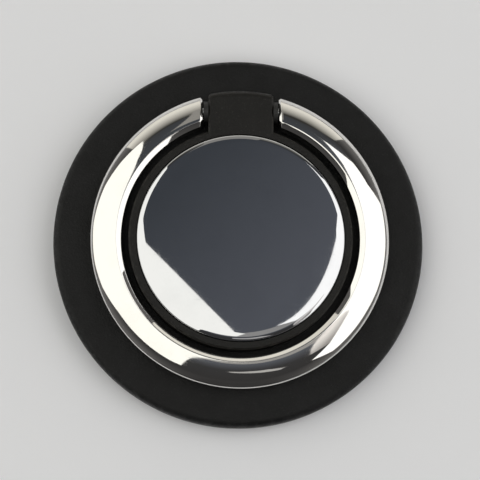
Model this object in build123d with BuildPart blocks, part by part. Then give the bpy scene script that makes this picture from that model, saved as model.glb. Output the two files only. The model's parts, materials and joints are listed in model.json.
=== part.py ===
from build123d import *
import os
from math import hypot, sqrt

# Finger ring holder. A round base sticks by its adhesive disc to a flat back. A turntable
# is riveted to the base and turns on it without limit. A ring folds down round the
# turntable, and swings up and over on the hinge in the turntable's knuckle.
#
# Origin: middle of the adhesive's lower face. +Z leaves the surface that the holder sticks
# to, and +Y points to the hinge. The ring is folded down. All sizes are millimetres.

# Base plate and adhesive disc
BASE_DIAMETER = 40.0
BASE_RIM_BEVEL = 0.5  # bevel of the upper rim
BASE_WEB = 0.6  # web of the base that the rivet clamps
ADHESIVE_THICKNESS = 0.8
ADHESIVE_INSET = 0.9  # from the base's edge to the adhesive's edge
ADHESIVE_SEAT = 0.3  # depth of the adhesive's seat in the base

# Finger ring: front crowned from its inner bevel to its outer edge, flat back, bevelled edges
RING_BORE = 25.4
RING_WIDTH = 3.3  # across the section, measured radially
RING_HEIGHT = 2.6  # height of the section
RING_CROWN_DROP = 1.25  # from the front's highest line down to its outer edge
RING_TOP_BEVEL = 0.5  # bevel of the inner edge, front
RING_BACK_BEVEL = 0.3  # bevel of the inner edge, back
RING_FOOT_BEVEL = 0.7  # bevel of the outer edge, back, which clears the base in the swing
RING_END_BEVEL = 0.25  # bevel round the two cut ends
SWING_GAP = 0.2  # between the base and the ring's ends as they swing

# Hinge: pin, flanged bushes and the knuckle between the ring's ends
KNUCKLE_WIDTH = 7.0
KNUCKLE_ROUND = 0.7  # rounding of the knuckle's outer top edge
PIN_DIAMETER = 1.0
PIN_REACH = 2.0  # pin in each end of the ring
BUSH_WALL = 0.25
BUSH_LENGTH = 2.2  # bush in the knuckle, without its flange
BUSH_FLANGE = 0.5  # flange thickness
BUSH_FLANGE_RIM = 0.4  # flange past the bush's barrel, all round
BUSH_END_GAP = 0.1  # between a flange and the ring's end

# Turntable, its centre plate and the tape under the plate
RING_GAP = 0.75  # between the turntable and the ring
RIM_WALL = 0.8  # rim of the turntable round the centre plate
RIM_DROP = 0.15  # rim below the ring's top
RIM_BEVEL = 0.2
PLATE_THICKNESS = 1.2
PLATE_PROUD = 0.25  # plate above the rim
PLATE_EDGE_BEVEL = 0.4
TAPE_THICKNESS = 0.15
TAPE_INSET = 0.6  # from the plate's edge to the tape's edge

# Swivel: tubular rivet, flat washer, disc spring and slip washer
RIVET_DIAMETER = 4.0
RIVET_WALL = 0.7
RIVET_HEAD_RIM = 2.2  # head past the shank, all round
RIVET_HEAD_THICKNESS = 0.6
RIVET_FLARE_RIM = 0.9  # set end past the shank, all round
RIVET_FLARE_THICKNESS = 0.3
RIVET_HEAD_SPARE = 0.15  # room over the rivet's head
WASHER_RIM = 1.8
WASHER_THICKNESS = 0.25
SPRING_RIM = 2.4
SPRING_THICKNESS = 0.25
SPRING_CONE = 0.25  # rise of the disc spring's cone
POCKET_SPARE = 0.1  # room between the rivet's set end and the adhesive
POCKET_SIDE_GAP = 0.3  # room round the widest piece in the pocket
SLIP_THICKNESS = 0.4
SLIP_SEAT = 0.2  # depth of the slip washer's seat in the base
SLIP_INSET = 1.0  # from the turntable's edge to the slip washer's edge

# Clearances
RUNNING_GAP = 0.04  # radial, round a pin or shank that turns
FREE_GAP = 0.15  # radial, round a pin that touches nothing
PRESS_GAP = 0.01  # radial, round a piece that is pressed in
SEAT_GAP = 0.06  # radial, round a piece that drops into a seat
BEARING_GAP = 0.02  # between flat faces that turn on each other

# Heights, from the adhesive's lower face up to the turntable
base_bottom = ADHESIVE_THICKNESS - ADHESIVE_SEAT
flare_bottom = ADHESIVE_THICKNESS + POCKET_SPARE
washer_bottom = flare_bottom + RIVET_FLARE_THICKNESS
spring_bottom = washer_bottom + WASHER_THICKNESS
web_bottom = spring_bottom + SPRING_CONE + SPRING_THICKNESS + BEARING_GAP
web_top = web_bottom + BASE_WEB
base_top = web_top + SLIP_SEAT
turntable_bottom = web_top + SLIP_THICKNESS + BEARING_GAP

# Radii of the base, the swivel's pieces, the ring and what the ring lies round
base_radius = BASE_DIAMETER / 2
adhesive_radius = base_radius - ADHESIVE_INSET
shank_radius = RIVET_DIAMETER / 2
shank_hole_radius = shank_radius + RUNNING_GAP
rivet_bore_radius = shank_radius - RIVET_WALL
head_radius = shank_radius + RIVET_HEAD_RIM
flare_radius = shank_radius + RIVET_FLARE_RIM
washer_radius = shank_hole_radius + WASHER_RIM
spring_radius = shank_hole_radius + SPRING_RIM
pocket_radius = max(washer_radius, spring_radius, flare_radius) + POCKET_SIDE_GAP
ring_inner_radius = RING_BORE / 2
ring_outer_radius = ring_inner_radius + RING_WIDTH
ring_half = RING_HEIGHT / 2
turntable_radius = ring_inner_radius - RING_GAP
slip_radius = turntable_radius - SLIP_INSET
plate_seat_radius = turntable_radius - RIM_WALL
plate_radius = plate_seat_radius - SEAT_GAP
tape_radius = plate_radius - TAPE_INSET

# Hinge axis: along X, in the middle of the ring's cut ends, and as high above the base as
# those ends need to swing over it
knuckle_half = KNUCKLE_WIDTH / 2
ring_end = knuckle_half + BUSH_FLANGE + BUSH_END_GAP
end_inner_y = sqrt(ring_inner_radius**2 - ring_end**2)
end_outer_y = sqrt(ring_outer_radius**2 - ring_end**2)
hinge_y = (end_inner_y + end_outer_y) / 2
end_half = end_outer_y - hinge_y
flank_swing = hypot(end_half, ring_half - RING_FOOT_BEVEL)
back_swing = hypot(end_half - RING_FOOT_BEVEL, ring_half)
hinge_z = base_top + max(flank_swing, back_swing) + SWING_GAP
pin_radius = PIN_DIAMETER / 2
pin_half = ring_end + PIN_REACH
bush_bore_radius = pin_radius + RUNNING_GAP
bush_radius = bush_bore_radius + BUSH_WALL
flange_radius = bush_radius + BUSH_FLANGE_RIM

# Heights of the ring, the turntable and the centre plate
ring_bottom = hinge_z - ring_half
ring_top = hinge_z + ring_half
rim_top = ring_top - RIM_DROP
plate_top = rim_top + PLATE_PROUD
plate_bottom = plate_top - PLATE_THICKNESS
plate_seat = plate_bottom - TAPE_THICKNESS
head_top = plate_seat - RIVET_HEAD_SPARE
head_seat = head_top - RIVET_HEAD_THICKNESS
turntable_height = rim_top - turntable_bottom

# Adhesive disc, die-cut from tape
with BuildPart() as adhesive_disc:
    with BuildSketch():
        Circle(adhesive_radius)
    extrude(amount=ADHESIVE_THICKNESS)

# Base plate: bevelled upper rim, a seat above for the slip washer, a seat below for the adhesive
# and a pocket there for the rivet's set end
with BuildPart() as base_plate:
    with BuildSketch(Plane.XY.offset(base_bottom)):
        Circle(base_radius)
    extrude(amount=base_top - base_bottom)
    chamfer(base_plate.edges().group_by(Axis.Z)[-1], BASE_RIM_BEVEL)
    with BuildSketch(Plane.XY.offset(base_bottom)):
        Circle(adhesive_radius + SEAT_GAP)
    extrude(amount=ADHESIVE_SEAT, mode=Mode.SUBTRACT)
    with BuildSketch(Plane.XY.offset(ADHESIVE_THICKNESS)):
        Circle(pocket_radius)
    extrude(amount=web_bottom - ADHESIVE_THICKNESS, mode=Mode.SUBTRACT)
    with BuildSketch(Plane.XY.offset(web_top)):
        Circle(slip_radius + SEAT_GAP)
    extrude(amount=SLIP_SEAT, mode=Mode.SUBTRACT)
    with BuildSketch(Plane.XY.offset(web_bottom)):
        Circle(shank_hole_radius)
    extrude(amount=BASE_WEB, mode=Mode.SUBTRACT)

# Slip washer, a plastic sheet that the turntable turns on
with BuildPart() as slip_washer:
    with BuildSketch(Plane.XY.offset(web_top)):
        Circle(slip_radius)
        Circle(shank_hole_radius, mode=Mode.SUBTRACT)
    extrude(amount=SLIP_THICKNESS)

# Turntable: a round pedestal with a knuckle that reaches out to the ring's own outline
with BuildPart() as turntable:
    with BuildSketch(Plane.XY.offset(turntable_bottom)):
        Rectangle(KNUCKLE_WIDTH, ring_outer_radius, align=(Align.CENTER, Align.MIN))
        Circle(ring_outer_radius, mode=Mode.INTERSECT)
        Circle(turntable_radius)
    extrude(amount=turntable_height)
    top_arcs = turntable.edges().filter_by(GeomType.CIRCLE).group_by(Axis.Z)[-1]
    fillet(top_arcs.sort_by(Axis.Y)[-1], KNUCKLE_ROUND)
    chamfer(turntable.faces().sort_by(Axis.Z)[-1].edges(), RIM_BEVEL)
    with BuildSketch(Plane.XY.offset(plate_seat)):
        Circle(plate_seat_radius)
    extrude(amount=rim_top - plate_seat, mode=Mode.SUBTRACT)
    with BuildSketch(Plane.XY.offset(head_seat)):
        Circle(head_radius + SEAT_GAP)
    extrude(amount=plate_seat - head_seat, mode=Mode.SUBTRACT)
    with BuildSketch(Plane.XY.offset(turntable_bottom)):
        Circle(shank_radius + PRESS_GAP)
    extrude(amount=head_seat - turntable_bottom, mode=Mode.SUBTRACT)
    with BuildSketch(Plane.YZ.offset(-knuckle_half)):
        with Locations((hinge_y, hinge_z)):
            Circle(pin_radius + FREE_GAP)
    extrude(amount=KNUCKLE_WIDTH, mode=Mode.SUBTRACT)
    with BuildSketch(Plane.YZ.offset(-knuckle_half), Plane.YZ.offset(knuckle_half - BUSH_LENGTH)):
        with Locations((hinge_y, hinge_z)):
            Circle(bush_radius + PRESS_GAP)
    extrude(amount=BUSH_LENGTH, mode=Mode.SUBTRACT)

# Tape under the centre plate
with BuildPart() as plate_tape:
    with BuildSketch(Plane.XY.offset(plate_seat)):
        Circle(tape_radius)
    extrude(amount=TAPE_THICKNESS)

# Centre plate, a polished disc with a bevelled edge
with BuildPart() as centre_plate:
    with BuildSketch(Plane.XY.offset(plate_bottom)):
        Circle(plate_radius)
    extrude(amount=PLATE_THICKNESS)
    chamfer(centre_plate.edges().group_by(Axis.Z)[-1], PLATE_EDGE_BEVEL)

# Finger ring: its section turned about Z, the knuckle's gap cut out, and a blind hole for
# the pin in each end
with BuildPart() as finger_ring:
    with BuildSketch(Plane.XZ):
        with BuildLine():
            crown = TangentArc(
                (ring_inner_radius + RING_TOP_BEVEL, ring_top),
                (ring_outer_radius, ring_top - RING_CROWN_DROP),
                tangent=(1, 0),
            )
            Polyline(
                crown @ 1,
                (ring_outer_radius, ring_bottom + RING_FOOT_BEVEL),
                (ring_outer_radius - RING_FOOT_BEVEL, ring_bottom),
                (ring_inner_radius + RING_BACK_BEVEL, ring_bottom),
                (ring_inner_radius, ring_bottom + RING_BACK_BEVEL),
                (ring_inner_radius, ring_top - RING_TOP_BEVEL),
                crown @ 0,
            )
        make_face()
    revolve(axis=Axis.Z)
    with BuildSketch(Plane.XY.offset(ring_bottom)):
        Rectangle(2 * ring_end, ring_outer_radius, align=(Align.CENTER, Align.MIN))
    extrude(amount=RING_HEIGHT, mode=Mode.SUBTRACT)
    chamfer(finger_ring.faces().filter_by(Axis.X).edges(), RING_END_BEVEL)
    with BuildSketch(Plane.YZ.offset(-pin_half - RUNNING_GAP)):
        with Locations((hinge_y, hinge_z)):
            Circle(pin_radius + PRESS_GAP)
    extrude(amount=2 * (pin_half + RUNNING_GAP), mode=Mode.SUBTRACT)

# Hinge pin, pressed into the ring's ends
with BuildPart() as hinge_pin:
    with BuildSketch(Plane.YZ.offset(-pin_half)):
        with Locations((hinge_y, hinge_z)):
            Circle(pin_radius)
    extrude(amount=2 * pin_half)

# Hinge bushes, one pressed into each side of the knuckle with its flange outside
hinge_bushes = {}
for side, outward in (("left", -1), ("right", 1)):
    with BuildPart() as bush:
        with BuildSketch(Plane.YZ.offset(outward * knuckle_half)):
            with Locations((hinge_y, hinge_z)):
                Circle(bush_radius)
        extrude(amount=-outward * BUSH_LENGTH)
        with BuildSketch(Plane.YZ.offset(outward * knuckle_half)):
            with Locations((hinge_y, hinge_z)):
                Circle(flange_radius)
        extrude(amount=outward * BUSH_FLANGE)
        with BuildSketch(Plane.YZ.offset(outward * (knuckle_half - BUSH_LENGTH))):
            with Locations((hinge_y, hinge_z)):
                Circle(bush_bore_radius)
        extrude(amount=outward * (BUSH_LENGTH + BUSH_FLANGE), mode=Mode.SUBTRACT)
    hinge_bushes[side] = bush

# Swivel rivet: flat head in the turntable, tubular shank, end flared out under the washer
with BuildPart() as swivel_rivet:
    with BuildSketch(Plane.XZ):
        with BuildLine():
            Polyline(
                (rivet_bore_radius, head_top),
                (head_radius, head_top),
                (head_radius, head_seat),
                (shank_radius, head_seat),
                (shank_radius, washer_bottom),
                (flare_radius, washer_bottom),
                (flare_radius, flare_bottom),
                (shank_radius, flare_bottom),
                (rivet_bore_radius, flare_bottom + RIVET_WALL),
                close=True,
            )
        make_face()
    revolve(axis=Axis.Z)

# Flat washer between the rivet's set end and the disc spring
with BuildPart() as rivet_washer:
    with BuildSketch(Plane.XY.offset(washer_bottom)):
        Circle(washer_radius)
        Circle(shank_hole_radius, mode=Mode.SUBTRACT)
    extrude(amount=WASHER_THICKNESS)

# Disc spring: a shallow cone that presses up on the base's web with its outer edge
with BuildPart() as disc_spring:
    with BuildSketch(Plane.XZ):
        with BuildLine():
            Polyline(
                (shank_hole_radius, spring_bottom),
                (spring_radius, spring_bottom + SPRING_CONE),
                (spring_radius, spring_bottom + SPRING_CONE + SPRING_THICKNESS),
                (shank_hole_radius, spring_bottom + SPRING_THICKNESS),
                close=True,
            )
        make_face()
    revolve(axis=Axis.Z)

# One file for each piece
pieces = {
    "adhesive_disc": adhesive_disc,
    "base_plate": base_plate,
    "slip_washer": slip_washer,
    "turntable": turntable,
    "plate_tape": plate_tape,
    "centre_plate": centre_plate,
    "finger_ring": finger_ring,
    "hinge_pin": hinge_pin,
    "hinge_bush_left": hinge_bushes["left"],
    "hinge_bush_right": hinge_bushes["right"],
    "swivel_rivet": swivel_rivet,
    "rivet_washer": rivet_washer,
    "disc_spring": disc_spring,
}
os.makedirs("parts", exist_ok=True)
for name, piece in pieces.items():
    piece.part.label = name
    export_step(piece.part, f"parts/{name}.step")
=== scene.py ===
import json
from math import acos, asin, atan2, cos, pi, radians, sin, sqrt, tan

import bpy
from mathutils import Matrix, Vector


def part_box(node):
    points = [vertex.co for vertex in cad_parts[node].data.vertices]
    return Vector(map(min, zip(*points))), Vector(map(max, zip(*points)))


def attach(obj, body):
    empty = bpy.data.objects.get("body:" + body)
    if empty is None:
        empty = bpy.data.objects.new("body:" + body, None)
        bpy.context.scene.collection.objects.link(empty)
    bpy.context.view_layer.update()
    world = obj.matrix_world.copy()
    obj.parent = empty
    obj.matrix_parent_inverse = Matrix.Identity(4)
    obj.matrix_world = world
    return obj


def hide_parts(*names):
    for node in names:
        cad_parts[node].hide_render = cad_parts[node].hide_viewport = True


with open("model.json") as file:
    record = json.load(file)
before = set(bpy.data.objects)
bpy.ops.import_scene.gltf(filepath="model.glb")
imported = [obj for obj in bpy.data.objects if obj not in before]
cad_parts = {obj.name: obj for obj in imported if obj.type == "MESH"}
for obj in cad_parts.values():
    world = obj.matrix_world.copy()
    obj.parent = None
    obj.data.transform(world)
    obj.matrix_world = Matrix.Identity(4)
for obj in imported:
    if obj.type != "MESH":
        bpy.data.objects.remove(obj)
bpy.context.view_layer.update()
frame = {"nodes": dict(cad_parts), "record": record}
nodes = frame["nodes"]
MM = 0.001

# Sizes that the detailed meshes share with the CAD part, in millimetres
RING_BORE = 25.4
RING_WIDTH = 3.3  # across the section, measured radially
RING_CROWN_DROP = 1.25  # the crown's fall across the front, as the part's crown has it
RING_TOP_BEVEL = 0.5  # how far the front's inner bevel reaches out from the bore
RING_BACK_BEVEL = 0.3
RING_FOOT_BEVEL = 0.7
RING_END_BEVEL = 0.25
RING_END = 4.1  # from the middle of the hinge to the ring's cut ends
ADHESIVE_SEAT_RADIUS = 19.16
POCKET_RADIUS = 4.74
SLIP_SEAT_RADIUS = 11.01
SHANK_HOLE_RADIUS = 2.04
WEB_BOTTOM = 1.97
WEB_TOP = 2.57

# Fine edge forms that only the detailed meshes have, in millimetres and degrees
RING_INNER_TILT = 38  # the slope of the front's inner bevel
RING_INNER_ROUND = 0.2  # between that bevel and the crown
RING_BORE_ROUND = 0.08  # between that bevel and the bore
RING_OUTER_TILT = 45  # the slope at which the crown passes into the outer edge's round
RING_FOOT_ROUND = 0.15
RING_BACK_ROUND = 0.1
RING_END_LIP = 0.05  # softens both edges of the bevel round a cut end
PLATE_SHOULDER = 0.43  # how far in the plate's face starts to fall away
PLATE_SHOULDER_ANGLE = 18
PLATE_SHOULDER_ROUND = 0.6
PLATE_EDGE_ROUND = 0.3
PLATE_FOOT_ROUND = 0.08
BASE_RIM_ROUND = 0.8
BASE_FOOT_ROUND = 0.2
BASE_SEAT_ROUND = 0.05
TAPE_TOP_ROUND = 0.06
TAPE_FOOT_ROUND = 0.08

ring_low, ring_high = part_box("finger_ring")
plate_low, plate_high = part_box("centre_plate")
base_low, base_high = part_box("base_plate")
adhesive_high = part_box("adhesive_disc")[1]
RING_BOTTOM = ring_low.z / MM
RING_TOP = ring_high.z / MM
RING_INNER = RING_BORE / 2
RING_OUTER = RING_INNER + RING_WIDTH

# How finely the meshes are divided
CROWN_STEPS = 22
OUTER_ROUND_STEPS = 10
RING_CORNER_STEPS = 8
RING_TURNS = 360
PLATE_CORNER_STEPS = 9
PLATE_SEGMENTS = 320
PLATE_FACE_RINGS = (0.95, 0.8, 0.55, 0.3, 0)  # circles on the flat face, as shares of its radius
BASE_CORNER_STEPS = 9
BASE_SEGMENTS = 384
TAPE_SEGMENTS = 320
TAPE_FACE_RING = 0.6


# Meshes

def mesh_object(name, verts, faces, sharp_angle=30):
    """A smooth-shaded mesh object, given in millimetres, with its sharp edges marked."""
    mesh = bpy.data.meshes.new(name)
    mesh.from_pydata([(x * MM, y * MM, z * MM) for x, y, z in verts], [], faces)
    mesh.validate()
    mesh.shade_smooth()
    mesh.set_sharp_from_angle(angle=radians(sharp_angle))
    obj = bpy.data.objects.new(name, mesh)
    bpy.context.scene.collection.objects.link(obj)
    return obj


def rounded(corners, steps=6):
    """A closed outline with rounded corners, from (x, y, radius) corners in order."""
    outline = []
    count = len(corners)
    for i, (x, y, radius) in enumerate(corners):
        here = Vector((x, y))
        if radius == 0:
            outline.append((x, y))
            continue
        to_last = (Vector(corners[i - 1][:2]) - here).normalized()
        to_next = (Vector(corners[(i + 1) % count][:2]) - here).normalized()
        half = acos(max(-1, min(1, to_last.dot(to_next)))) / 2
        middle = here + (to_last + to_next).normalized() * (radius / sin(half))
        start = here + to_last * (radius / tan(half))
        end = here + to_next * (radius / tan(half))
        a = atan2(start.y - middle.y, start.x - middle.x)
        turn = atan2(end.y - middle.y, end.x - middle.x) - a
        turn = (turn + pi) % (2 * pi) - pi
        for k in range(steps + 1):
            t = a + turn * k / steps
            outline.append((middle.x + radius * cos(t), middle.y + radius * sin(t)))
    return outline


def turned(name, profile, segments, closed=False):
    """A mesh turned about Z from (radius, z) points, from axis to axis or, if closed, round a hole."""
    on_axis = 1e-6
    angles = [2 * pi * k / segments for k in range(segments)]
    verts, rows = [], []
    for r, z in profile:
        if r < on_axis:
            rows.append([len(verts)] * segments)
            verts.append((0, 0, z))
        else:
            rows.append(list(range(len(verts), len(verts) + segments)))
            verts += [(r * cos(t), r * sin(t), z) for t in angles]
    faces = []
    for low, high in zip(rows, rows[1:] + (rows[:1] if closed else [])):
        for k in range(segments):
            n = (k + 1) % segments
            face = [low[k], low[n], high[n], high[k]]
            faces.append([v for j, v in enumerate(face) if v not in face[:j]])
    return mesh_object(name, verts, faces)


def ring_section():
    """The ring's section as (radius, z) points: inner bevel, crown, outer round, foot and back."""
    crown_start = RING_INNER + RING_TOP_BEVEL
    crown_width = RING_WIDTH - RING_TOP_BEVEL
    crown_radius = (crown_width ** 2 + RING_CROWN_DROP ** 2) / (2 * RING_CROWN_DROP)
    crown_middle_z = RING_TOP - crown_radius
    tilt = radians(RING_OUTER_TILT)
    outer_round = (RING_OUTER - crown_start - crown_radius * sin(tilt)) / (1 - sin(tilt))
    outer_middle = RING_OUTER - outer_round
    outer_middle_z = crown_middle_z + (crown_radius - outer_round) * cos(tilt)
    crown_angles = [tilt * k / CROWN_STEPS for k in range(1, CROWN_STEPS)]
    outer_angles = [tilt + (pi / 2 - tilt) * k / OUTER_ROUND_STEPS for k in range(OUTER_ROUND_STEPS)]
    bevel_drop = RING_TOP_BEVEL * tan(radians(RING_INNER_TILT))
    corners = [
        (RING_INNER, RING_TOP - bevel_drop, RING_BORE_ROUND),
        (crown_start, RING_TOP, RING_INNER_ROUND),
        *[
            (crown_start + crown_radius * sin(t), crown_middle_z + crown_radius * cos(t), 0)
            for t in crown_angles
        ],
        *[
            (outer_middle + outer_round * sin(t), outer_middle_z + outer_round * cos(t), 0)
            for t in outer_angles
        ],
        (RING_OUTER, outer_middle_z, 0),
        (RING_OUTER, RING_BOTTOM + RING_FOOT_BEVEL, RING_FOOT_ROUND),
        (RING_OUTER - RING_FOOT_BEVEL, RING_BOTTOM, RING_FOOT_ROUND),
        (RING_INNER + RING_BACK_BEVEL, RING_BOTTOM, RING_BACK_ROUND),
        (RING_INNER, RING_BOTTOM + RING_BACK_BEVEL, RING_BACK_ROUND),
    ]
    return rounded(corners, RING_CORNER_STEPS)


def make_ring():
    """The ring swept round from one cut end to the other, with both ends bevelled and closed."""
    section = ring_section()
    count = len(section)
    loops = []

    def end_loop(side, x, shrink):
        """The section cut straight across at x, drawn in towards its middle by shrink."""
        points = [(sqrt(r * r - x * x), z) for r, z in section]
        middle = Vector((sum(p[0] for p in points) / count, sum(p[1] for p in points) / count))
        loop = []
        for p in points:
            out = Vector(p) - middle
            q = middle + out * (1 - shrink / out.length)
            loop.append((side * x, q.x, q.y))
        return loop

    bevel, lip = RING_END_BEVEL, RING_END_LIP
    end_steps = [
        (0, bevel + lip),
        (lip / 4, bevel),
        (lip, bevel - lip),
        (bevel - lip, lip),
        (bevel, lip / 4),
    ]
    for x, shrink in end_steps:
        loops.append(end_loop(1, RING_END + x, shrink))
    start_x = RING_END + bevel + lip
    for k in range(RING_TURNS + 1):
        loop = []
        for r, z in section:
            start = asin(start_x / r)
            t = start + (2 * pi - 2 * start) * k / RING_TURNS
            loop.append((r * sin(t), r * cos(t), z))
        loops.append(loop)
    for x, shrink in reversed(end_steps):
        loops.append(end_loop(-1, RING_END + x, shrink))
    verts = [p for loop in loops for p in loop]
    faces = [list(reversed(range(count)))]
    for i in range(len(loops) - 1):
        here, there = i * count, (i + 1) * count
        for j in range(count):
            n = (j + 1) % count
            faces.append([here + j, here + n, there + n, there + j])
    last = (len(loops) - 1) * count
    faces.append([last + j for j in range(count)])
    return mesh_object("chrome_ring", verts, faces, sharp_angle=40)


def make_plate():
    """The polished plate: flat face, shallow shoulder, rounded edge, small broken edge below."""
    r = plate_high.x / MM
    top = plate_high.z / MM
    bottom = plate_low.z / MM
    flat = r - PLATE_SHOULDER
    low = top - PLATE_SHOULDER * tan(radians(PLATE_SHOULDER_ANGLE))
    corners = [
        (0, bottom, 0),
        (r, bottom, PLATE_FOOT_ROUND),
        (r, low, PLATE_EDGE_ROUND),
        (flat, top, PLATE_SHOULDER_ROUND),
        *[(flat * share, top, 0) for share in PLATE_FACE_RINGS],
    ]
    return turned("polished_plate", rounded(corners, PLATE_CORNER_STEPS), PLATE_SEGMENTS)


def make_base():
    """The base's casting: rounded rim above, seats and pocket as in the part."""
    r = base_high.x / MM
    bottom = base_low.z / MM
    top = base_high.z / MM
    seat = adhesive_high.z / MM
    corners = [
        (ADHESIVE_SEAT_RADIUS, bottom, BASE_SEAT_ROUND),
        (r, bottom, BASE_FOOT_ROUND),
        (r, top, BASE_RIM_ROUND),
        (SLIP_SEAT_RADIUS, top, BASE_SEAT_ROUND),
        (SLIP_SEAT_RADIUS, WEB_TOP, 0),
        (SHANK_HOLE_RADIUS, WEB_TOP, 0),
        (SHANK_HOLE_RADIUS, WEB_BOTTOM, 0),
        (POCKET_RADIUS, WEB_BOTTOM, 0),
        (POCKET_RADIUS, seat, 0),
        (ADHESIVE_SEAT_RADIUS, seat, 0),
    ]
    profile = rounded(corners, BASE_CORNER_STEPS)
    return turned("base_casting", profile, BASE_SEGMENTS, closed=True)


def make_adhesive():
    """The die-cut tape, its edges pressed slightly round."""
    r = adhesive_high.x / MM
    top = adhesive_high.z / MM
    corners = [
        (0, 0, 0),
        (TAPE_FACE_RING * r, 0, 0),
        (r, 0, TAPE_FOOT_ROUND),
        (r, top, TAPE_TOP_ROUND),
        (TAPE_FACE_RING * r, top, 0),
        (0, top, 0),
    ]
    return turned("adhesive_tape", rounded(corners), TAPE_SEGMENTS)


# Node trees

MIX_FIRST, MIX_SECOND = 6, 7  # the colour inputs of a Mix node
MIX_RESULT = 2  # its colour output


class Tree:
    """Short forms for building a node tree."""

    def __init__(self, tree):
        self.tree = tree

    def node(self, kind, **settings):
        made = self.tree.nodes.new(kind)
        for key, value in settings.items():
            setattr(made, key, value)
        return made

    def link(self, source, target):
        self.tree.links.new(source, target)

    def fill(self, socket, value):
        """Write a number or a colour on a socket, or link another node's output to it."""
        if isinstance(value, (int, float)):
            socket.default_value = value
        elif isinstance(value, tuple):
            socket.default_value = (*value, 1)
        else:
            self.link(value, socket)

    def split(self, vector):
        made = self.node("ShaderNodeSeparateXYZ")
        self.link(vector, made.inputs["Vector"])
        return made.outputs

    def ranged(self, value, low, high, to_low=0.0, to_high=1.0):
        """Value from low to high as a value from to_low to to_high, and no further."""
        made = self.node("ShaderNodeMapRange")
        self.link(value, made.inputs["Value"])
        made.inputs["From Min"].default_value = low
        made.inputs["From Max"].default_value = high
        made.inputs["To Min"].default_value = to_low
        made.inputs["To Max"].default_value = to_high
        return made.outputs["Result"]

    def math(self, operation, *values):
        made = self.node("ShaderNodeMath", operation=operation)
        for socket, value in zip(made.inputs, values):
            self.fill(socket, value)
        return made.outputs["Value"]

    def mixed(self, factor, first, second):
        """Colour first where the factor is 0, second where it is 1."""
        made = self.node("ShaderNodeMix", data_type="RGBA")
        self.link(factor, made.inputs["Factor"])
        self.fill(made.inputs[MIX_FIRST], first)
        self.fill(made.inputs[MIX_SECOND], second)
        return made.outputs[MIX_RESULT]


# Materials

class Maker(Tree):
    """Short forms for building a node material on a Principled shader."""

    def __init__(self, name):
        self.material = bpy.data.materials.new(name)
        self.material.use_nodes = True
        super().__init__(self.material.node_tree)
        self.shader = self.tree.nodes["Principled BSDF"]
        self.place = self.node("ShaderNodeTexCoord")
        self.where = self.place.outputs["Object"]

    def set(self, **values):
        """Write constants on the shader, with _ for a space in a socket's name."""
        for key, value in values.items():
            self.shader.inputs[key.replace("_", " ")].default_value = value

    def drive(self, **sources):
        """Link outputs to the shader, with _ for a space in a socket's name."""
        for key, source in sources.items():
            self.link(source, self.shader.inputs[key.replace("_", " ")])

    def scaled(self, scale, turn):
        made = self.node("ShaderNodeMapping")
        made.inputs["Scale"].default_value = scale
        made.inputs["Rotation"].default_value = turn
        self.link(self.where, made.inputs["Vector"])
        return made.outputs["Vector"]

    def noise(self, scale, detail, rough=0.5, where=None):
        made = self.node("ShaderNodeTexNoise")
        made.inputs["Scale"].default_value = scale
        made.inputs["Detail"].default_value = detail
        made.inputs["Roughness"].default_value = rough
        self.link(where or self.where, made.inputs["Vector"])
        return made.outputs["Fac"]

    def round_axis(self, scale):
        """Coordinates round the Z axis: distance from it, angle, height."""
        x, y, z = self.split(self.where)
        squares = self.math("ADD", self.math("MULTIPLY", x, x), self.math("MULTIPLY", y, y))
        out = self.math("SQRT", squares)
        joined = self.node("ShaderNodeCombineXYZ")
        for key, value, factor in zip("XYZ", (out, self.math("ARCTAN2", y, x), z), scale):
            self.link(self.math("MULTIPLY", value, factor), joined.inputs[key])
        return joined.outputs["Vector"]

    def edges(self):
        """1 on bevels and roundings, whose faces lean, and 0 on level and upright faces."""
        lean = self.math("ABSOLUTE", self.split(self.place.outputs["Normal"])["Z"])
        not_upright = self.ranged(lean, 0.1, 0.45)
        not_level = self.ranged(lean, 0.97, 0.8)
        return self.math("MULTIPLY", not_upright, not_level)

    def bumped(self, height, strength, distance):
        made = self.node("ShaderNodeBump")
        made.inputs["Strength"].default_value = strength
        made.inputs["Distance"].default_value = distance
        self.link(height, made.inputs["Height"])
        return made.outputs["Normal"]


def coat_material(name, dark, light, worn, rough, grain, depth, shine):
    """A black coat: fine grain, faint cloudiness, smudges, and a little wear along the edges."""
    rough_spread = 0.07  # from grain to grain
    rubbed_smoother = 0.12  # where the edges are worn
    smudged_smoother = 0.1  # where it has been handled
    worn_share = 0.5  # of the worn colour, where the coat is worn or has a speck
    cloud_share, fine_share = 0.6, 0.4  # of the mix between dark and light
    speck_grain = grain * 1.7
    m = Maker(name)
    cloud = m.ranged(m.noise(scale=380, detail=4, rough=0.6), 0.3, 0.7)
    fine = m.noise(scale=grain, detail=3, rough=0.65)
    speck = m.ranged(m.noise(scale=speck_grain, detail=2, rough=0.5), 0.62, 0.72)
    patches = m.ranged(m.noise(scale=1500, detail=4, rough=0.7), 0.45, 0.62)
    handling = m.noise(scale=150, detail=3, rough=0.6)
    smudge = m.ranged(handling, 0.5, 0.75, 0.0, smudged_smoother)
    clouded = m.math("MULTIPLY", cloud, cloud_share)
    mottle = m.math("ADD", clouded, m.math("MULTIPLY", fine, fine_share))
    worn_edge = m.math("MULTIPLY", m.edges(), patches)
    wear = m.math("MULTIPLY", m.math("ADD", worn_edge, speck), worn_share)
    m.drive(Base_Color=m.mixed(wear, m.mixed(mottle, dark, light), worn))
    grained = m.ranged(fine, 0.25, 0.75, rough - rough_spread, rough + rough_spread)
    handled = m.math("SUBTRACT", grained, smudge)
    rubbed = m.math("MULTIPLY", worn_edge, rubbed_smoother)
    m.drive(Roughness=m.math("SUBTRACT", handled, rubbed))
    m.drive(Normal=m.bumped(fine, strength=0.9, distance=depth))
    m.set(Specular_IOR_Level=shine)
    return m.material


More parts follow.
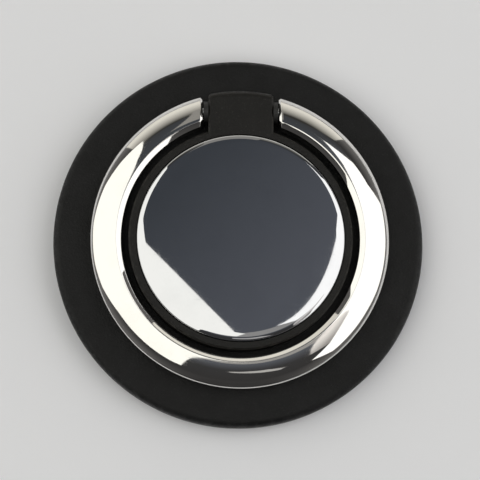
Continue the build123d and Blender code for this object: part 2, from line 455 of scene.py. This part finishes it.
def metal_material(name, tint, smear, rough, scratch, wave, brushed):
    """A bright metal: polishing lines round the axis, hairlines, faint smears, slight waviness."""
    smeared_rougher = 1.6  # times as rough where it is smeared
    wave_depth = 0.0002
    hair_stretch, hair_turn = (300, 9000, 2000), radians(35)  # noise drawn out into hairlines
    cross_stretch, cross_turn = (9000, 260, 2000), radians(20)  # and into others across them
    polish_stretch = (7000, 3, 7000)  # noise drawn out round the axis
    m = Maker(name)
    m.set(Metallic=1.0)
    haze = m.ranged(m.noise(scale=260, detail=5, rough=0.65), 0.45, 0.8)
    m.drive(Base_Color=m.mixed(haze, tint, smear))
    along = m.scaled(hair_stretch, (0, 0, hair_turn))
    across = m.scaled(cross_stretch, (0, 0, cross_turn))
    hairs = m.ranged(m.noise(scale=1, detail=2, where=along), 0.68, 0.74)
    cross_hairs = m.ranged(m.noise(scale=1, detail=2, where=across), 0.69, 0.75)
    lines = m.math("MULTIPLY", m.math("ADD", hairs, cross_hairs), scratch)
    polish = m.noise(scale=1, detail=3, rough=0.6, where=m.round_axis(polish_stretch))
    shine = m.math("ADD", m.ranged(haze, 0, 1, rough, rough * smeared_rougher), lines)
    m.drive(Roughness=m.math("ADD", shine, m.ranged(polish, 0.45, 0.8, 0.0, brushed)))
    waves = m.noise(scale=160, detail=1, rough=0.4)
    m.drive(Normal=m.bumped(waves, strength=wave, distance=wave_depth))
    return m.material


materials = {
    "base_black": coat_material(
        "base_black_coat",
        dark=(0.002, 0.002, 0.0021), light=(0.008, 0.008, 0.0084), worn=(0.03, 0.03, 0.03),
        rough=0.46, grain=4200, depth=0.00007, shine=0.22,
    ),
    # The turntable's coat is written lighter and browner than the base's. This is partly a brownish
    # coat of its own and partly painted sheen, standing in for the light that its raised flat top
    # catches.
    "turntable_black": coat_material(
        "turntable_black_coat_and_painted_sheen",
        dark=(0.007, 0.0066, 0.006), light=(0.011, 0.0103, 0.0094), worn=(0.04, 0.038, 0.034),
        rough=0.4, grain=3600, depth=0.00006, shine=0.22,
    ),
    "adhesive": coat_material(
        "adhesive_foam",
        dark=(0.03, 0.03, 0.033), light=(0.05, 0.05, 0.055), worn=(0.07, 0.07, 0.075),
        rough=0.8, grain=3000, depth=0.00008, shine=0.3,
    ),
    "nylon_black": coat_material(
        "nylon_moulded",
        dark=(0.012, 0.012, 0.012), light=(0.018, 0.018, 0.018), worn=(0.03, 0.03, 0.03),
        rough=0.5, grain=5200, depth=0.000015, shine=0.4,
    ),
    "ring_chrome": metal_material(
        "ring_chrome_plate",
        tint=(0.82, 0.805, 0.78), smear=(0.76, 0.745, 0.72),
        rough=0.035, scratch=0.04, wave=0.006, brushed=0.05,
    ),
    "plate_polished": metal_material(
        "plate_polished_steel",
        tint=(0.68, 0.685, 0.705), smear=(0.64, 0.645, 0.665),
        rough=0.01, scratch=0.02, wave=0.001, brushed=0.01,
    ),
    "steel": metal_material(
        "zinc_plated_steel",
        tint=(0.6, 0.61, 0.62), smear=(0.5, 0.5, 0.5),
        rough=0.2, scratch=0.1, wave=0.02, brushed=0.12,
    ),
}


# Pieces: every node gets its finish, and four get a finer mesh in their place

def dress(obj, slot):
    obj.data.materials.clear()
    obj.data.materials.append(materials[slot])


for piece in frame["record"]["subparts"]:
    dress(nodes[piece["node"]], piece["material_slot"])

ring = make_ring()
dress(ring, "ring_chrome")
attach(ring, "ring")
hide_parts("finger_ring")

plate = make_plate()
dress(plate, "plate_polished")
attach(plate, "swivel")
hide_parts("centre_plate")

base = make_base()
dress(base, "base_black")
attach(base, "base")
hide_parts("base_plate")

tape = make_adhesive()
dress(tape, "adhesive")
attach(tape, "base")
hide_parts("adhesive_disc")


# Floor: level and pale, with a low turned-up edge that is higher at the back

FLOOR_RADIUS = 1000  # about where the edge starts to rise, in millimetres like the sizes above
FLOOR_SINK = 0.02  # how far it lies below the holder's underside
FLOOR_EDGE = 60  # height of the edge
FLOOR_BACK = 490  # how much higher it is straight at the back
FLOOR_BACK_FROM = 0.75  # the share of the way to the back where that starts
FLOOR_SEGMENTS = 96


def make_floor():
    rings = [0.1, 0.3, 0.6, 0.9, 1.0, 1.06, 1.1, 1.12]  # shares of the radius
    rise = [0, 0, 0, 0, 0.04, 0.2, 0.55, 1.0]  # shares of the edge's height, ring by ring
    verts, rows = [(0, 0, -FLOOR_SINK)], []
    for share, up in zip(rings, rise):
        r = share * FLOOR_RADIUS
        rows.append(range(len(verts), len(verts) + FLOOR_SEGMENTS))
        for k in range(FLOOR_SEGMENTS):
            t = 2 * pi * k / FLOOR_SEGMENTS
            back = max(0, (sin(t) - FLOOR_BACK_FROM) / (1 - FLOOR_BACK_FROM)) ** 2
            height = (FLOOR_EDGE + FLOOR_BACK * back) * up
            verts.append((r * cos(t), r * sin(t), height - FLOOR_SINK))
    around = [(k, (k + 1) % FLOOR_SEGMENTS) for k in range(FLOOR_SEGMENTS)]
    faces = [[0, rows[0][k], rows[0][n]] for k, n in around]
    for inner, outer in zip(rows, rows[1:]):
        faces += [[inner[k], outer[k], outer[n], inner[n]] for k, n in around]
    floor = mesh_object("floor", verts, faces, sharp_angle=60)
    m = Maker("floor_paper")
    cloud = m.noise(scale=60, detail=4)
    m.drive(Base_Color=m.mixed(cloud, (0.85, 0.855, 0.89), (0.875, 0.88, 0.915)))
    m.set(Roughness=0.9)
    floor.data.materials.append(m.material)


make_floor()


# Light: a large soft panel on each side, and smaller and dimmer ones between and beside them

def panel(name, normal, reach, corners, strength, colour, fade=None):
    """A flat light panel whose corners lie in the given directions, reach metres away along normal.

    fade gives two heights in metres, between which its strength changes, and the strength above.
    """
    normal = Vector(normal).normalized()
    verts = []
    for corner in corners:
        d = Vector(corner)
        verts.append(tuple(d * (reach / normal.dot(d) / MM)))
    obj = mesh_object(name, verts, [list(range(len(verts)))])
    material = bpy.data.materials.new(name + "_glow")
    material.use_nodes = True
    tree = Tree(material.node_tree)
    shader = material.node_tree.nodes["Principled BSDF"]
    material.node_tree.nodes.remove(shader)
    glow = tree.node("ShaderNodeEmission")
    glow.inputs["Color"].default_value = (*colour, 1)
    glow.inputs["Strength"].default_value = strength
    output = material.node_tree.nodes["Material Output"]
    tree.link(glow.outputs["Emission"], output.inputs["Surface"])
    if fade:
        fade_from, fade_to, strength_above = fade
        height = tree.split(tree.node("ShaderNodeTexCoord").outputs["Object"])["Z"]
        level = tree.ranged(height, fade_from, fade_to, strength, strength_above)
        tree.link(level, glow.inputs["Strength"])
    obj.data.materials.append(material)
    obj.visible_camera = False


def curve(start, bend, end, steps=12):
    """Directions along a smooth curve from start to end, drawn towards bend."""
    start, bend, end = Vector(start), Vector(bend), Vector(end)
    shares = [k / steps for k in range(steps + 1)]
    return [start * (1 - t) ** 2 + bend * (2 * t * (1 - t)) + end * t ** 2 for t in shares]


panel(
    "panel_left", normal=(-0.70, -0.08, 0.71), reach=0.62,
    corners=[
        (0.0625, 0.0755, 1), (-0.25, 0.385, 1), (-0.84, 1.17, 1), (-1.77, 1.56, 1),
        (-4.2, 2.4, 1), (-12, 3, 1), (-7.6, -0.35, 1), (-4, -0.95, 1), (-1.64, -0.8, 1),
        (-1.02, -1.08, 1), (-0.72, -1.19, 1), (-0.54, -1.14, 1),
    ],
    strength=1.28, colour=(1.0, 0.993, 0.93),
)
panel(
    "panel_right", normal=(0.75, 0.03, 0.66), reach=0.62,
    corners=[
        (0.3, -0.02, 1), (0.44, -0.1, 1), (0.76, -0.6, 1), (0.95, -1.2, 1), (2.5, -2.3, 1),
        (3.3, -2.0, 1), (4.1, -1.6, 1), (6.4, -1.3, 1), (5.9, 2.3, 0.6), (1.57, 0.915, 1),
        (1.06, 0.89, 1), (0.34, 0.49, 1), (0.3, 0.38, 1), (0.28, 0.31, 1), (0.2, 0.215, 1),
        *curve((0.1245, 0.15, 1), (0.1145, 0.0995, 1), (0.083, 0.0855, 1)),
    ],
    strength=1.4, colour=(1.0, 0.993, 0.965),
)
panel(
    "panel_right_low", normal=(0.75, 0.03, 0.66), reach=0.62,
    corners=[
        (0.15, 0.053, 1), (0.3, -0.02, 1), (0.44, -0.1, 1), (0.76, -0.6, 1), (0.52, -0.58, 1),
        (0.36, -0.32, 1),
    ],
    strength=0.38, colour=(1.0, 0.96, 0.92), fade=(0.56, 0.72, 1.0),
)
panel(
    "panel_back", normal=(0, 1, 0.1), reach=0.85,
    corners=[
        (-0.62, 0.66, 0.05), (0.6, 0.66, 0.05), (0.5, 0.6, 0.5), (0.3, 0.6, 0.8),
        (-0.4, 0.6, 0.7), (-0.53, 0.6, 0.42),
    ],
    strength=0.85, colour=(1.0, 0.97, 0.88), fade=(0.2, 0.85, 0.04),
)
panel(
    "panel_high", normal=(0, 0.8, 0.6), reach=0.8,
    corners=[(-0.18, 0.77, 0.6), (0.18, 0.77, 0.6), (0.09, 0.36, 0.93), (-0.09, 0.36, 0.93)],
    strength=0.3, colour=(1.0, 0.97, 0.9),
)
panel(
    "panel_between", normal=(0, 0, 1), reach=1.05,
    corners=[
        (-0.12, -0.08, 1), (0.25, -0.09, 1), (0.25, 0.06, 1), (0.083, 0.0855, 1),
        (0.065, 0.082, 1), (0.057, 0.0775, 1), (-0.12, 0.1, 1),
    ],
    strength=0.35, colour=(1.0, 0.98, 0.94),
)
panel(
    "panel_front", normal=(0.1, -0.55, 0.83), reach=0.8,
    corners=[
        (0.0, -0.66, 1), (0.12, -0.69, 1), (0.22, -0.74, 1), (0.38, -0.82, 1),
        (0.38, -0.72, 1), (0.22, -0.57, 1), (0.12, -0.55, 1), (0.0, -0.59, 1),
    ],
    strength=0.5, colour=(1.0, 0.98, 0.95),
)


# World: slate overhead, lighter to one side, dark round about and to the front, and lighter
# again near the floor, except straight to the front

SKY_DIM_SLATE = (0.057, 0.063, 0.072)
SKY_SLATE = (0.107, 0.114, 0.131)
SKY_FRONT = (0.046, 0.046, 0.047)
SKY_DARK = (0.042, 0.041, 0.041)
SKY_NEAR_FLOOR = (0.17, 0.165, 0.16)


def make_world():
    world = bpy.data.worlds.new("studio")
    world.use_nodes = True
    tree = Tree(world.node_tree)
    x, y, z = tree.split(tree.node("ShaderNodeTexCoord").outputs["Generated"])
    across = tree.math("SUBTRACT", x, y)

    def graded(value, low, high, first, second):
        return tree.mixed(tree.ranged(value, low, high), first, second)

    overhead = graded(across, -0.15, -0.03, SKY_DIM_SLATE, SKY_SLATE)
    top = graded(y, -0.45, -0.1, SKY_FRONT, overhead)
    low_sides = graded(y, -0.95, -0.7, SKY_DARK, SKY_NEAR_FLOOR)
    sides = graded(z, 0.02, 0.5, low_sides, SKY_DARK)
    sky = graded(z, 0.55, 0.97, sides, top)
    tree.link(sky, world.node_tree.nodes["Background"].inputs["Color"])
    bpy.context.scene.world = world


make_world()


# Camera: the photograph's viewing angle and distance, the holder filling most of the frame

CAMERA_LENS = 140  # millimetres, as the sensor's width
CAMERA_SENSOR = 36
CAMERA_DISTANCE = 0.2  # metres, from the point that it looks at
CAMERA_TARGET_HEIGHT = 0.004
CAMERA_LEAN_X = 3.4  # degrees off the normal, towards -X
CAMERA_LEAN_Y = 8.2  # and towards -Y

camera_data = bpy.data.cameras.new("camera")
camera_data.lens = CAMERA_LENS
camera_data.sensor_width = CAMERA_SENSOR
camera_data.clip_start = 0.01
camera_data.clip_end = 10
camera = bpy.data.objects.new("camera", camera_data)
bpy.context.scene.collection.objects.link(camera)
target = Vector((0, 0, CAMERA_TARGET_HEIGHT))
back = Vector((-tan(radians(CAMERA_LEAN_X)), -tan(radians(CAMERA_LEAN_Y)), 1)).normalized()
up = (Vector((0, 1, 0)) - back * back.y).normalized()
right = up.cross(back)
turn = Matrix((right, up, back)).transposed()
camera.matrix_world = Matrix.Translation(target + back * CAMERA_DISTANCE) @ turn.to_4x4()
bpy.context.scene.camera = camera
bpy.context.scene.view_settings.view_transform = "Standard"
